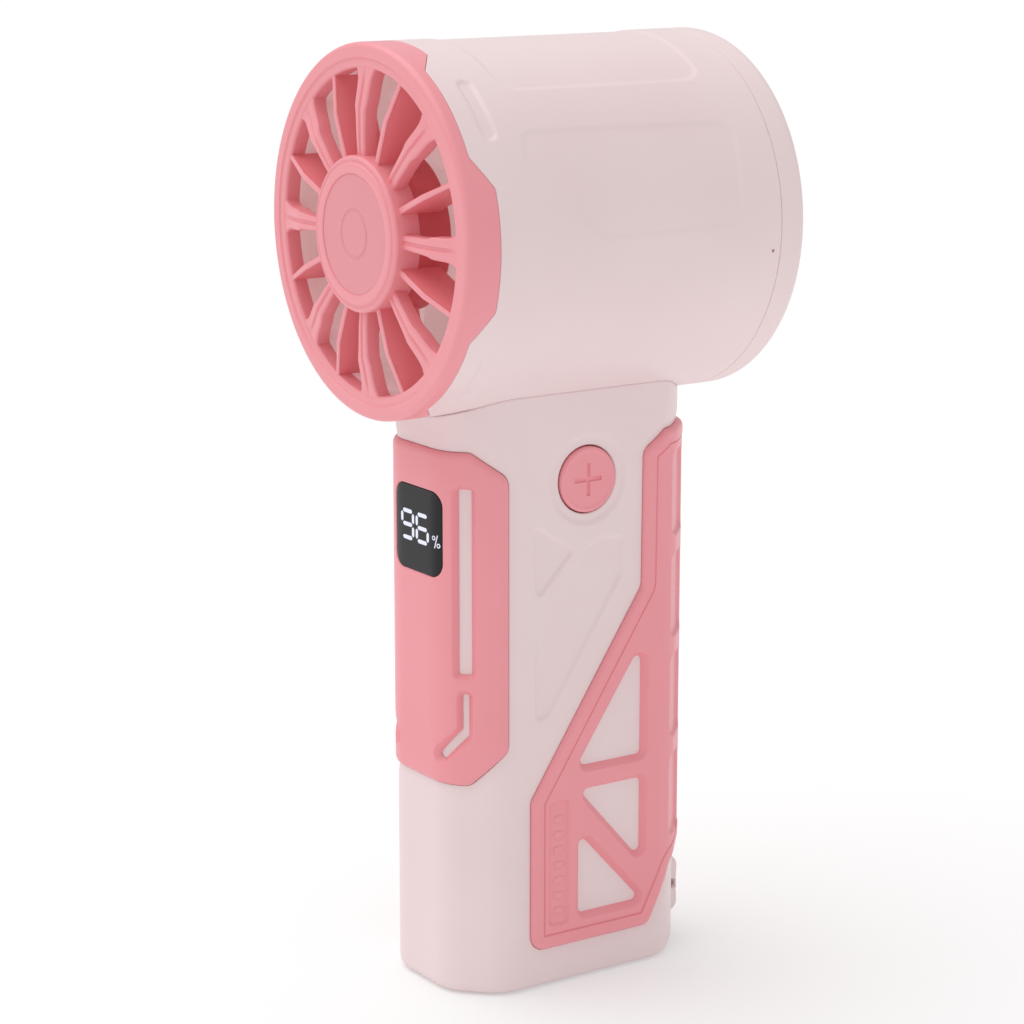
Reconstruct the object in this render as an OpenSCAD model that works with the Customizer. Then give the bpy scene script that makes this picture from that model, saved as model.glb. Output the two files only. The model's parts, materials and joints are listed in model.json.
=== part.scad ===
// Handheld turbo fan: a round barrel with a ducted impeller on top of an upright grip.
// +Z is up, the air leaves towards -Y, the plus button is on the +X side.
// The origin is the centre of the base of the object's box.

/* [Barrel] */
// Outside diameter of the barrel
barrel_d = 65; // [65:0.5:67]
// Length of the barrel from front ring to rear rim
barrel_len = 71.2; // [71:0.2:72]
// Height of the barrel's axis above the base
axis_z = 138.3; // [138:0.1:139]
// Wall of the barrel housing
barrel_wall = 1.6; // [1.4:0.1:1.8]
// How far the hubs stand out past the front ring and the rear rim
hub_proud = 2.4; // [2.2:0.1:2.6]
// Length of the rear ring
rear_ring_len = 5.9; // [5.5:0.1:6.5]

/* [Front grille] */
// Number of wide spokes, with as many narrow vanes between them
spokes = 8; // [6:1:8]
// Radius of the round outlet inside the front ring
outlet_r = 28.1; // [28:0.1:28.4]
// Outer radius of the front hub
hub_r = 13.5; // [13.2:0.1:14]
// Depth of the spokes and vanes along the barrel
vane_depth = 8; // [6:0.5:9]

/* [Impeller] */
// Number of impeller blades
blades = 11; // [7:1:11]
// Radius of the impeller over its blade tips
impeller_r = 27.4; // [27:0.1:27.6]

/* [Handle] */
// Width of the grip, side to side
grip_w = 31.6; // [31.6:0.2:32]
// Front face of the grip, as a distance in front of the origin
grip_front = 25.4; // [25.4:0.1:25.6]
// Rear face of the grip, as a distance behind the origin
grip_back = 26.1; // [26:0.1:26.4]
// Flat cut across each corner of the grip
grip_chamfer = 7.6; // [7.2:0.1:8]
// Rounding where the flats of the grip meet
grip_round = 8; // [7:0.5:8]
// Wall of the grip
grip_wall = 2.2; // [2.1:0.1:2.4]

/* [Trim] */
// How far the front panel and the side trusses stand out of the grip
trim_proud = 0.5; // [0.4:0.1:0.6]
// How far the trim is let into the grip
trim_sunk = 0.8; // [0.7:0.1:0.9]
// Height of the middle of the buttons
button_z = 93.7; // [93.6:0.1:94.6]
// Radius of the buttons
button_r = 5.95; // [5.8:0.05:6.1]
// Distance of the buttons behind the middle of the barrel
button_y = 0.4; // [-1:0.1:1]
// Travel of the buttons
button_travel = 0.5; // [0.3:0.1:0.6]

/* [Hidden] */
$fn = 96;
barrel_r = barrel_d / 2;
front_s = barrel_len / 2;
rear_s = -barrel_len / 2;
bore_r = barrel_r - barrel_wall;
half_w = grip_w / 2;
// air gap that keeps moving pieces clear
clear = 0.3;
// gap drawn at a parting line
gap = 0.08;

// inner radius of the rear ring
ring_in = outlet_r + 0.4;

// front ring and its four ears, which key into the housing
ring_s = front_s - 2.7;
ear_s = front_s - 6.45;
ear_half = [10.2, 15.4];

// duct, motor and impeller, measured along the barrel's axis, front positive
duct_r = 28.3;
duct_wall = 1.4;
duct_front = 25;
duct_rear = rear_s + 7.2;
motor_r = 11;
motor_rear = 1.5;
motor_front = 19.5;
shaft_r = 1.5;
shaft_rear = -23;
impeller_front = -2.2;
impeller_rear = -20;

// grip heights
panel_bottom = 39.75;
panel_rear = -16.3;
panel_top = 100.3;
truss_bottom = 7.4;
truss_top = 100.9;
truss_rear = 21.6;
// depth of a button's stem behind the face of the grip
stem_len = 4.6;
// strap bridge on the back cover
lug_proud = 2.6;
strap_r = 0.9;
// seat of the back cover's plate, its screws and the crossbar that takes them
cover_sunk = 2;
cover_screw_x = 4;
cover_screw_z = 84;
// solid neck plate under the barrel, and its screws
neck_z = 102.5;
neck_screw_y = 17;
lead_y = -8;
cell_r = 9.1;
cell_len = 65;
cell_z = 7;
cell_y = 9.6;

// ---------- helpers ----------

// local Z becomes the barrel's axis, pointing to the front
module on_axis() {
  translate([0, 0, axis_z]) rotate([90, 0, 0]) children();
}

module ring(r_out, r_in, s0, s1) {
  translate([0, 0, s0]) difference() {
    cylinder(r = r_out, h = s1 - s0);
    translate([0, 0, -1]) cylinder(r = r_in, h = s1 - s0 + 2);
  }
}

module spin(n, start = 0) {
  for (i = [0 : n - 1]) rotate([0, 0, start + i * 360 / n]) children();
}

// rounded polygon: points are [x, y, corner radius]
function unit(v) = v / norm(v);
function corner(a, p, b, r) =
  let (u = unit([a[0] - p[0], a[1] - p[1]]), v = unit([b[0] - p[0], b[1] - p[1]]),
    half = acos(u * v) / 2, mid = unit(u + v), c = [p[0], p[1]] + mid * r / sin(half),
    sweep = 90 - half, turn = sign(u[0] * v[1] - u[1] * v[0]), a0 = atan2(-mid[1], -mid[0]))
  [for (k = [-4 : 4]) c + r * [cos(a0 - turn * sweep * k / 4), sin(a0 - turn * sweep * k / 4)]];
function rounded(pts) = [for (i = [0 : len(pts) - 1])
  each corner(pts[(i + len(pts) - 1) % len(pts)], pts[i], pts[(i + 1) % len(pts)], max(pts[i][2], 0.05))];

// moves every edge of a rounded outline outwards by d, or inwards if d is negative
function grown(pts, d) = let (n = len(pts)) [for (i = [0 : n - 1])
  let (p = pts[i], a = pts[(i + n - 1) % n], b = pts[(i + 1) % n],
    u = unit([p[0] - a[0], p[1] - a[1]]), v = unit([b[0] - p[0], b[1] - p[1]]),
    m = [u[1], -u[0]] + [v[1], -v[0]], k = d * 2 / (m * m))
  [p[0] + m[0] * k, p[1] + m[1] * k, max(p[2] + d * sign(u[0] * v[1] - u[1] * v[0]), 0)]];

// the grip's section, let out by side and by rear
function section(side, rear) = rounded([
  [half_w + side - grip_chamfer, -grip_front - side, grip_round + side],
  [half_w + side, -grip_front - side + grip_chamfer, grip_round + side],
  [half_w + side, grip_back + rear - grip_chamfer, grip_round + side],
  [half_w + side - grip_chamfer, grip_back + rear, grip_round + side],
  [-half_w - side + grip_chamfer, grip_back + rear, grip_round + side],
  [-half_w - side, grip_back + rear - grip_chamfer, grip_round + side],
  [-half_w - side, -grip_front - side + grip_chamfer, grip_round + side],
  [-half_w - side + grip_chamfer, -grip_front - side, grip_round + side]]);

module grip_prism(side, rear, z0, z1) {
  translate([0, 0, z0]) linear_extrude(z1 - z0) polygon(section(side, rear));
}

// a shape drawn in the side view, y and z, pushed through the grip from side to side
module side_view(x0, x1) {
  translate([x0, 0, 0]) rotate([90, 0, 90]) linear_extrude(x1 - x0) children();
}

// a shape drawn in the front view, x and z, pushed back from y0 to y1
module front_view(y0, y1) {
  translate([0, y1, 0]) rotate([90, 0, 0]) linear_extrude(y1 - y0) children();
}

module both_sides() {
  children();
  mirror([1, 0, 0]) children();
}

// ---------- barrel ----------

module ears(grow) {
  spin(4) rotate([90, 0, 90]) translate([0, 0, bore_r - 3]) linear_extrude(barrel_wall + 5)
    polygon([[-ear_half[1] - grow, ring_s + 1], [-ear_half[1] - grow, ring_s],
      [-ear_half[0] - grow, ear_s - grow], [ear_half[0] + grow, ear_s - grow],
      [ear_half[1] + grow, ring_s], [ear_half[1] + grow, ring_s + 1]]);
}

module barrel_housing() {
  color("mistyrose") difference() {
    on_axis() difference() {
      ring(barrel_r, bore_r, rear_s + rear_ring_len + gap, ring_s - gap);
      ears(gap);
      // wire passage down into the neck
      rotate([90, 0, 0]) translate([0, -lead_y, bore_r - 4]) cylinder(r = 4, h = 10);
    }
    // pilot holes for the neck screws
    for (y = [-neck_screw_y, neck_screw_y]) translate([0, y, axis_z - barrel_r - 1]) cylinder(r = 0.95, h = 4);
  }
}

module rear_ring() {
  edge = 2.3;
  wall = barrel_r - ring_in;
  color("mistyrose") on_axis() rotate_extrude() intersection() {
    translate([ring_in, rear_s]) square([wall, rear_ring_len]);
    union() {
      translate([ring_in, rear_s + edge]) square([wall, rear_ring_len - edge]);
      translate([ring_in, rear_s]) square([wall - edge, edge + 0.01]);
      translate([barrel_r - edge, rear_s + edge]) circle(r = edge);
    }
  }
}

module intake_grille() {
  bars = 12;
  color("lightpink") on_axis() {
    ring(ring_in - 0.08, outlet_r - 1.4, rear_s + 0.4, rear_s + 6);
    for (r = [12, 16.5, 21, 25]) ring(r + 0.6, r - 0.6, rear_s + 0.2, rear_s + 2.2);
    spin(bars) translate([7, -0.6, rear_s + 0.2]) cube([outlet_r - 8, 1.2, 2.6]);
    translate([0, 0, rear_s - hub_proud]) cylinder(r1 = 6.4, r2 = 8, h = 1.6);
    translate([0, 0, rear_s - hub_proud + 1.6]) cylinder(r = 8, h = hub_proud + 0.8);
  }
}

// side profile of a spoke or vane: radius and place along the axis
module vane_profile() {
  polygon([[hub_r - 1.2, front_s + 0.87 - vane_depth], [hub_r - 1.2, front_s + 0.87],
    [21.8, front_s + 0.87], [outlet_r + 0.6, front_s - 1.1], [outlet_r + 0.6, front_s - vane_depth]]);
}

module front_grille() {
  color("lightcoral") on_axis() {
    difference() {
      union() {
        ring(barrel_r, outlet_r, ring_s, front_s);
        intersection() {
          ring(barrel_r, bore_r + 0.3, ear_s, ring_s + 0.5);
          ears(0);
        }
      }
      // fine step round the face of the ring
      ring(29.85, 29.55, front_s - 0.25, front_s + 1);
    }
    ring(bore_r - 0.15, duct_r, duct_front + 0.2, ring_s + 0.2);
    difference() {
      ring(hub_r, hub_r - 1.6, front_s - 11, front_s + hub_proud - 0.4);
      ring(12.95, 12.65, front_s + hub_proud - 0.7, front_s + hub_proud);
    }
    ring(12.2, 10.35, front_s + hub_proud - 2.4, front_s + hub_proud);
    ring(hub_r - 1, 10.35, front_s + hub_proud - 2.4, front_s + hub_proud - 1.4);
    // wide spokes flare towards the ring and carry a centre groove
    spin(spokes) intersection() {
      rotate([90, 0, 0]) translate([0, 0, -3]) linear_extrude(6) vane_profile();
      translate([0, 0, front_s - vane_depth]) linear_extrude(vane_depth + 2) polygon([
        [hub_r - 1.2, -1.25], [20, -1.5], [25, -1.8], [outlet_r + 0.6, -2.6],
        [outlet_r + 0.6, 2.6], [25, 1.8], [20, 1.5], [hub_r - 1.2, 1.25]]);
    }
    spin(spokes, 180 / spokes) rotate([90, 0, 0]) translate([0, 0, -0.6])
      linear_extrude(1.2) vane_profile();
  }
}

module hub_cap() {
  color("lightcoral") on_axis() difference() {
    union() {
      translate([0, 0, front_s + hub_proud - 1.4]) cylinder(r = 10.25, h = 0.9);
      translate([0, 0, front_s + hub_proud - 4]) ring(5, 3.8, 0, 2.6);
    }
    // plain ring engraved on the face
    ring(4.4, 3.9, front_s + hub_proud - 0.7, front_s + hub_proud);
  }
}

module flow_duct() {
  color("gainsboro") on_axis() {
    difference() {
      ring(duct_r + duct_wall, duct_r, duct_rear, duct_front);
      rotate([90, 0, 0]) translate([0, -lead_y, duct_r - 3]) cylinder(r = 2.5, h = 8);
    }
    // stand-off rims centre the duct in the housing
    for (s = [duct_rear, -2, duct_front - 1.6]) ring(bore_r - 0.05, duct_r + 0.5, s, s + 1.6);
    difference() {
      ring(hub_r - 0.4, motor_r + 0.1, motor_rear - 2, front_s - 11.2);
      rotate([90, 0, 0]) translate([0, -lead_y, motor_r - 2]) cylinder(r = 2.5, h = 6);
    }
    // rear plate of the motor cup, with the hole that the bearing boss passes
    difference() {
      ring(hub_r - 0.4, 4.6, motor_rear - 2, motor_rear - 0.1);
      spin(3) translate([8, 0, motor_rear - 3]) cylinder(r = 1.05, h = 4);
    }
    // guide vanes straighten the swirl
    spin(9, 10) rotate([90, 0, 0]) translate([0, 0, -0.7]) linear_extrude(1.4)
      polygon([[hub_r - 0.8, 1], [hub_r - 0.8, 21], [duct_r + 0.6, 19], [duct_r + 0.6, 3]]);
  }
}

// ---------- motor and impeller ----------

module motor_case() {
  color("dimgray") on_axis() {
    difference() {
      union() {
        ring(motor_r, motor_r - 1, motor_rear, motor_front - 1.2);
        ring(motor_r - 0.5, 4.1, motor_rear, motor_rear + 1.2);
        ring(4.5, 4, motor_rear - 1.8, motor_rear + 3);
      }
      spin(3) translate([8, 0, motor_rear - 1]) cylinder(r = 0.8, h = 4);
      rotate([90, 0, 0]) translate([0, -lead_y, motor_r - 2]) cylinder(r = 2.4, h = 4);
    }
    spin(3) translate([8, 0, motor_rear]) ring(1.6, 0.8, 0, 2.4);
  }
}

module motor_end_cap() {
  color("silver") on_axis() {
    ring(motor_r, 4.1, motor_front - 1.2, motor_front);
    ring(4.9, 4, motor_front - 3.4, motor_front - 0.6);
    translate([0, 0, motor_front - 0.4]) cylinder(r = 4.6, h = 0.8);
  }
}

module motor_stator() {
  color("lightslategray") on_axis() {
    ring(motor_r - 1, motor_r - 2.2, 6, 14);
    spin(6) translate([0, 0, 6]) linear_extrude(8) difference() {
      union() {
        translate([6, -0.9]) square([3.2, 1.8]);
        intersection() {
          circle(r = 6.3);
          polygon([[4, -2.2], [8, -3.4], [8, 3.4], [4, 2.2]]);
        }
      }
      circle(r = 5.5);
    }
  }
}

module motor_coils() {
  color("peru") on_axis() spin(6) difference() {
    translate([6.45, -1.75, 5]) cube([2, 3.5, 10]);
    translate([6, -0.95, 5.95]) cube([3, 1.9, 8.1]);
  }
}

module bearing(s) {
  color("silver") on_axis() {
    ring(3.95, 3.2, s, s + 2.4);
    ring(2.3, shaft_r + 0.04, s, s + 2.4);
    ring(3.3, 2.2, s + 0.6, s + 1.8);
  }
}

module front_bearing() { bearing(motor_front - 3.2); }

module rear_bearing() { bearing(motor_rear - 1.4); }

module motor_shaft() {
  color("lightgray") on_axis() translate([0, 0, shaft_rear])
    cylinder(r = shaft_r, h = motor_front - 0.7 - shaft_rear);
}

module rotor_magnet() {
  color("darkslategray") on_axis() ring(5.1, shaft_r, 5.5, 14.5);
}

module impeller() {
  color("whitesmoke") on_axis() {
    difference() {
      translate([0, 0, impeller_rear]) cylinder(r1 = 7, r2 = 12.6, h = impeller_front - impeller_rear);
      translate([0, 0, impeller_rear + 4]) cylinder(r1 = 5, r2 = 11, h = impeller_front - impeller_rear);
      translate([0, 0, impeller_rear - 1]) cylinder(r = shaft_r, h = 30);
    }
    ring(3.4, shaft_r, impeller_rear, impeller_front - 1.5);
    // raked blades
    intersection() {
      spin(blades) translate([19.5, 0, -11.5]) rotate([38, 0, 0])
        cube([17.8, 1.1, 17], center = true);
      difference() {
        translate([0, 0, impeller_rear]) cylinder(r = impeller_r, h = impeller_front - impeller_rear - 0.3);
        translate([0, 0, impeller_rear - 1]) cylinder(r1 = 6, r2 = 12, h = impeller_front - impeller_rear);
      }
    }
  }
}

module impeller_nut() {
  color("goldenrod") on_axis() difference() {
    union() {
      translate([0, 0, impeller_rear - 2.4]) cylinder(r = 2.9, h = 2.4, $fn = 6);
      translate([0, 0, impeller_rear - 0.4]) cylinder(r = 3.3, h = 0.4);
    }
    translate([0, 0, impeller_rear - 4]) cylinder(r = shaft_r, h = 6);
  }
}

module motor_screws() {
  color("gray") on_axis() spin(3) translate([8, 0, motor_rear - 3.2]) {
    cylinder(r = 1.7, h = 1.1);
    cylinder(r = 0.8, h = 6.2);
  }
}

// three-wire lead from the motor cup down into the neck
module motor_lead() {
  low = 98;
  color("firebrick") for (x = [-1.2, 0, 1.2])
    translate([x, lead_y, low]) cylinder(r = 0.5, h = axis_z - motor_r + 0.7 - low);
}

// ---------- grip ----------

truss_outline = [[-11.7, truss_bottom, 3], [14.4, truss_bottom, 2], [19.6, 18.6, 3], [25.4, truss_rear, 3],
  [30, truss_rear, 0], [30, truss_top, 0], [17.5, truss_top, 1.5], [12.6, 97.6, 2.4], [12.4, 72.6, 2.5],
  [-11.7, 36, 2.5]];
panel_outline = [[-11.6, panel_bottom, 2], [11.6, panel_bottom, 2], [17.6, 49.1, 2], [17.6, 94.1, 2],
  [11.7, panel_top, 2], [-11.7, panel_top, 2], [-17.6, 94.1, 2], [-17.6, 49.1, 2]];
window_outline = [[-6.8, 77.4, 2.7], [7.8, 77.4, 2.7], [7.8, 92.9, 2.7], [-6.8, 92.9, 2.7]];
truss_holes = [
  [[13.6, 64.2, 1.2], [13.6, 39.9, 1.2], [-2.9, 39.9, 1]],
  [[-2.7, 37, 1.2], [13.6, 37, 1.3], [13.6, 18.4, 1.2]],
  [[-1.7, 30.2, 1.3], [15, 11.8, 1.3], [-1.7, 11.8, 1.3]]];

module handle_shell() {
  sunk = trim_sunk;
  color("mistyrose") difference() {
    grip_prism(0, 0, 0, axis_z - 20);
    difference() {
      grip_prism(-grip_wall, -grip_wall, grip_wall, neck_z);
      translate([-grip_w / 2, grip_back - 9.2, cover_screw_z - 3]) cube([grip_w, 6, 6]);
    }
    // screws and motor lead pass through the neck plate
    for (y = [-neck_screw_y, neck_screw_y]) translate([0, y, neck_z - 1]) cylinder(r = 1.05, h = 20);
    translate([0, lead_y, neck_z - 1]) cylinder(r = 4, h = 20);
    // pilot holes of the cover screws
    for (x = [-cover_screw_x, cover_screw_x])
      translate([x, grip_back, cover_screw_z]) rotate([90, 0, 0]) cylinder(r = 0.85, h = 8);
    // saddle that the barrel rests in
    translate([0, 0, axis_z]) rotate([90, 0, 0]) cylinder(r = barrel_r, h = 90, center = true);
    // pocket of the front panel
    intersection() {
      difference() {
        grip_prism(2, 2, 0, axis_z);
        grip_prism(-sunk, -sunk, -1, axis_z + 1);
      }
      panel_block(gap);
    }
    // pocket of the truss frame
    intersection() {
      difference() {
        grip_prism(2, 2, 0, axis_z);
        grip_prism(-sunk, -sunk, -1, axis_z + 1);
      }
      truss_block(gap);
    }
    // dished seats and through holes of the two buttons
    both_sides() translate([0, button_y, button_z]) rotate([0, 90, 0]) {
      translate([0, 0, half_w - 0.45]) cylinder(r1 = 7.3, r2 = 8.2, h = 0.6);
      cylinder(r = button_r + clear, h = 30);
    }
    // opening behind, closed by the back cover
    translate([-7.6, grip_back - 3.3, 5]) cube([15.2, 6, 91]);
    translate([-8.1, grip_back - cover_sunk - 0.1, 3.9]) cube([16.2, 6, 93.2]);
    // window behind the display
    translate([-6.3, -grip_front - 2, 78]) cube([13.2, 6, 14.2]);
    // charging port in the base
    translate([-4.6, cell_y + 8.9, -1]) cube([9.2, 3.4, 5]);
  }
}

module back_cover() {
  sunk = trim_sunk;
  low = 4;
  color("mistyrose") difference() {
    union() {
      // plate that follows the grip's rear under the frame
      intersection() {
        grip_prism(-sunk - 0.05, -sunk - 0.05, low, 97);
        translate([-8, grip_back - cover_sunk, low]) cube([16, 3, 93]);
      }
      // plug, bottom tongue, and the flush part below the frame
      translate([-7.5, grip_back - 3.2, 5.1]) cube([15, 1.4, 90.8]);
      translate([-5, grip_back - 3.4, 3]) cube([10, 1, 3]);
      intersection() {
        grip_prism(0, 0, low, truss_rear - 0.2);
        translate([-8, grip_back - 1.5, low]) cube([16, 2, 30]);
      }
      // strap bridge
      translate([-6, grip_back - 0.1, 5.2]) cube([12, lug_proud + 0.1, 9]);
      translate([-5, grip_back - 0.1, 4.2]) cube([10, lug_proud + 0.1, 11]);
    }
    for (x = [-cover_screw_x, cover_screw_x]) translate([x, grip_back, cover_screw_z]) rotate([90, 0, 0]) {
      cylinder(r = 1.05, h = 12);
      cylinder(r = 2, h = 1.9);
    }
    translate([-20, grip_back + 1.2, 9.7]) rotate([0, 90, 0]) cylinder(r = strap_r, h = 40);
  }
}

module truss_block(grow) {
  side_view(-30, 30) polygon(rounded(grown(truss_outline, grow)));
}

module grip_frame() {
  color("lightcoral") difference() {
    intersection() {
      grip_prism(trim_proud, 1, 1, 110);
      truss_block(0);
    }
    grip_prism(-trim_sunk + 0.02, -trim_sunk + 0.02, 0, 120);
    for (h = truss_holes) side_view(-30, 30) polygon(rounded(h));
    // fine line inside the edge of each truss
    both_sides() side_view(half_w + trim_proud - 0.2, 30) difference() {
      polygon(rounded(grown(truss_outline, -2.9)));
      polygon(rounded(grown(truss_outline, -3.15)));
    }
    // finger pockets on the rear corners
    both_sides() for (i = [0 : 3])
      translate([half_w + trim_proud - grip_chamfer / 2, grip_back + 1 - grip_chamfer / 2, 24.4 + 19.1 * i])
        rotate([0, 0, 45]) translate([-0.6, -3.4, 0]) cube([3, 6.8, 15.4]);
  }
}

module panel_block(grow) {
  front_view(-40, panel_rear + grow) polygon(rounded(grown(panel_outline, grow)));
}

module front_panel() {
  color("lightcoral") difference() {
    intersection() {
      grip_prism(trim_proud, 0, 30, 110);
      panel_block(0);
    }
    grip_prism(-trim_sunk + 0.02, -trim_sunk, 20, 120);
    // display opening
    front_view(-40, 0) polygon(rounded(window_outline));
    // long and short slots down each corner flat
    both_sides() front_view(-40, 0) {
      translate([9.7, 59.8]) square([2.4, 34.3]);
      polygon(rounded([[10.4, 57, 0.3], [11.8, 57, 0.3], [11.8, 48.9, 1], [7.6, 43.9, 0.7],
        [6.3, 45, 0.7], [10.4, 50.2, 0.8]]));
    }
  }
}

// bars of a seven-segment numeral, lit where the pattern says so
module numeral(lit) {
  w = 3.5;
  h = 2.4;
  t = 0.8;
  bar = [[0, 2 * h, 0], [1, h, 90], [1, 0, 90], [0, 0, 0], [0, 0, 90], [0, h, 90], [0, h, 0]];
  for (i = [0 : 6]) if (lit[i] == 1) translate([bar[i][0] * w, bar[i][1]]) rotate(bar[i][2])
    translate([0.2, -t / 2]) square([(bar[i][2] == 90 ? h : w) - 0.4, t]);
}

module display_marks() {
  translate([-4.45, 83.1]) numeral([1, 1, 1, 1, 0, 1, 1]);
  translate([0.4, 83.1]) numeral([1, 0, 1, 1, 1, 1, 1]);
  // percent sign
  translate([5.45, 82.65]) {
    translate([0.5, 1.75]) circle(r = 0.5);
    translate([1.6, 0.75]) circle(r = 0.5);
    translate([0.75, 0]) rotate(66) square([2.6, 0.3]);
  }
}

module display_window() {
  color("black") difference() {
    intersection() {
      grip_prism(trim_proud - 0.15, 0, 70, 100);
      front_view(-40, 0) polygon(rounded(grown(window_outline, -0.05)));
    }
    grip_prism(-trim_sunk + 0.02, -trim_sunk, 60, 110);
    display_digits();
  }
}

module display_digits() {
  color("white") intersection() {
    front_view(-40, 0) display_marks();
    difference() {
      grip_prism(trim_proud - 0.15, 0, 80, 90);
      grip_prism(trim_proud - 0.35, 0, 79, 91);
    }
  }
}

module display_board() {
  color("seagreen") {
    translate([-6.1, -grip_front + trim_sunk + 0.4, 78.2]) cube([12.8, 2.7, 13.8]);
    translate([-6.7, -grip_front + 3.8, 76.2]) cube([14, 1.2, 17.8]);
  }
}

// button cap with a thin engraved sign, on a stem with a stop collar
module button(cross) {
  translate([0, button_y, button_z]) rotate([0, 90, 0]) {
    difference() {
      translate([0, 0, half_w - 3.5]) cylinder(r = button_r, h = 3.7);
      translate([-0.25, -2.9, half_w - 0.05]) cube([0.5, 5.8, 1]);
      if (cross) translate([-2.9, -0.25, half_w - 0.05]) cube([5.8, 0.5, 1]);
    }
    translate([0, 0, half_w - 3.6]) cylinder(r = 7.4, h = 1);
    translate([0, 0, half_w - stem_len]) cylinder(r = 2, h = 1.5);
  }
}

module plus_button() { color("lightcoral") button(true); }

module minus_button() { color("lightcoral") mirror([1, 0, 0]) button(false); }

module button_board() {
  color("seagreen") difference() {
    translate([-9.6, -9, button_z - 4.7]) cube([19.2, 20, 1.2]);
    for (y = [-6.5, 8.5]) translate([0, y, button_z - 6]) cylinder(r = 1.1, h = 4);
  }
}

module tact_switches() {
  body_x = 9.4;
  tip = half_w - stem_len - button_travel - clear;
  color("darkslategray") both_sides() translate([0, button_y, 0]) {
    translate([6, -3, button_z - 3.5]) cube([body_x - 6, 6, 6.5]);
    translate([body_x - 0.1, 0, button_z]) rotate([0, 90, 0]) cylinder(r = 1.5, h = tip - body_x + 0.1);
  }
}

module control_board() {
  color("seagreen") translate([-8.5, cell_y + cell_r + 0.5, 4.2]) cube([17, 1.2, 66]);
}

module board_chips() {
  y = cell_y + cell_r + 1.7;
  color("darkslategray") {
    for (b = [[-5, 50, 7, 7], [1, 36, 5, 5], [-7, 28, 5, 4], [3, 58, 4, 6]])
      translate([b[0], y, b[1]]) cube([b[2], 0.9, b[3]]);
    translate([-3.5, y, 16]) cube([6, 0.9, 6]);
  }
}

module charging_socket() {
  color("silver") translate([0, cell_y + 10.6, 0.3]) difference() {
    linear_extrude(3.8) union() {
      square([5.7, 3.2], center = true);
      for (x = [-2.85, 2.85]) translate([x, 0]) circle(r = 1.6);
    }
    translate([0, 0, -1]) linear_extrude(4.2) difference() {
      union() {
        square([5.7, 2.6], center = true);
        for (x = [-2.85, 2.85]) translate([x, 0]) circle(r = 1.3);
      }
      square([6, 0.7], center = true);
    }
  }
}

module cell(y) {
  color("steelblue") translate([0, y, cell_z]) {
    cylinder(r = cell_r, h = cell_len - 1.2);
    translate([0, 0, cell_len - 1.3]) cylinder(r = 3.4, h = 1.3);
  }
}

module battery_cell_front() { cell(-cell_y); }

module battery_cell_rear() { cell(cell_y); }

// end caps that hold the two cells, tied by two rails
module battery_tray() {
  color("dimgray") {
    translate([-9.6, -18.4, grip_wall + 0.05]) cube([19.2, 36.8, cell_z - grip_wall - 0.45]);
    translate([-9.6, -18.4, cell_z + cell_len + 0.4]) cube([19.2, 36.8, 3]);
    both_sides() translate([6.6, -1.6, cell_z - 1]) cube([2.4, 3.2, cell_len + 2]);
  }
}

module battery_tabs() {
  color("gainsboro") {
    translate([-3, -13, cell_z - 0.3]) cube([6, 26, 0.25]);
    for (y = [-cell_y, cell_y]) translate([-3, y - 3, cell_z + cell_len + 0.05]) cube([6, 6, 0.3]);
  }
}

module cover_screws() {
  color("gray") for (x = [-cover_screw_x, cover_screw_x])
    translate([x, grip_back - 1, cover_screw_z]) rotate([90, 0, 0]) {
      cylinder(r = 1.9, h = 0.85);
      cylinder(r = 0.83, h = 6.5);
    }
}

module barrel_screws() {
  color("gray") for (y = [-neck_screw_y, neck_screw_y]) translate([0, y, neck_z - 1.2]) {
    cylinder(r = 1.8, h = 1.15);
    cylinder(r = 0.88, h = 5.9);
  }
}

barrel_housing();
rear_ring();
intake_grille();
front_grille();
hub_cap();
flow_duct();
motor_case();
motor_end_cap();
motor_stator();
motor_coils();
front_bearing();
rear_bearing();
motor_shaft();
rotor_magnet();
impeller();
impeller_nut();
motor_screws();
motor_lead();
handle_shell();
back_cover();
grip_frame();
front_panel();
display_window();
display_digits();
display_board();
plus_button();
minus_button();
button_board();
tact_switches();
control_board();
board_chips();
charging_socket();
battery_cell_front();
battery_cell_rear();
battery_tray();
battery_tabs();
cover_screws();
barrel_screws();
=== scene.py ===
"""Handheld turbo fan: detailed meshes, materials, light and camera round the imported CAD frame.

Sizes are in millimetres and become metres in build(). Two coordinate systems are used:
the grip is unrolled along its outline (u, z), and the barrel along its circumference (t, s),
where s runs forwards along the barrel, so that s = -y.
"""
import json
import math

import bmesh
import bpy
import numpy as np
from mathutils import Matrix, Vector
from mathutils.geometry import delaunay_2d_cdt


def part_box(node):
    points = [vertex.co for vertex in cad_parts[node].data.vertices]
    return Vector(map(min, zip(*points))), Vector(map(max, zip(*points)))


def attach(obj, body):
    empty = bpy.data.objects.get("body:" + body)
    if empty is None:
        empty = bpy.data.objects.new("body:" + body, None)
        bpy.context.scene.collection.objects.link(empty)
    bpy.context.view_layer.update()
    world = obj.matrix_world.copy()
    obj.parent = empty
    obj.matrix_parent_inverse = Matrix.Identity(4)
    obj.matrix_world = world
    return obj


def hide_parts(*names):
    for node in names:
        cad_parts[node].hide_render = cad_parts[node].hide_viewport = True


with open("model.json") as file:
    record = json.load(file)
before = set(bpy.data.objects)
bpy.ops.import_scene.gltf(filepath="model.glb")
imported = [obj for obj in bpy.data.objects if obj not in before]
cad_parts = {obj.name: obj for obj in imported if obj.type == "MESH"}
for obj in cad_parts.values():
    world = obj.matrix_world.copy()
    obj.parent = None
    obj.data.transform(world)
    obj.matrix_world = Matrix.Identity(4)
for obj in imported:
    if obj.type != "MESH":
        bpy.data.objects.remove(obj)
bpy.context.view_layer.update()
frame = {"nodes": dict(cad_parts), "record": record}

MM = 0.001


def box_mm(node):
    low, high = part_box(node)
    return np.array(low) / MM, np.array(high) / MM


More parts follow.
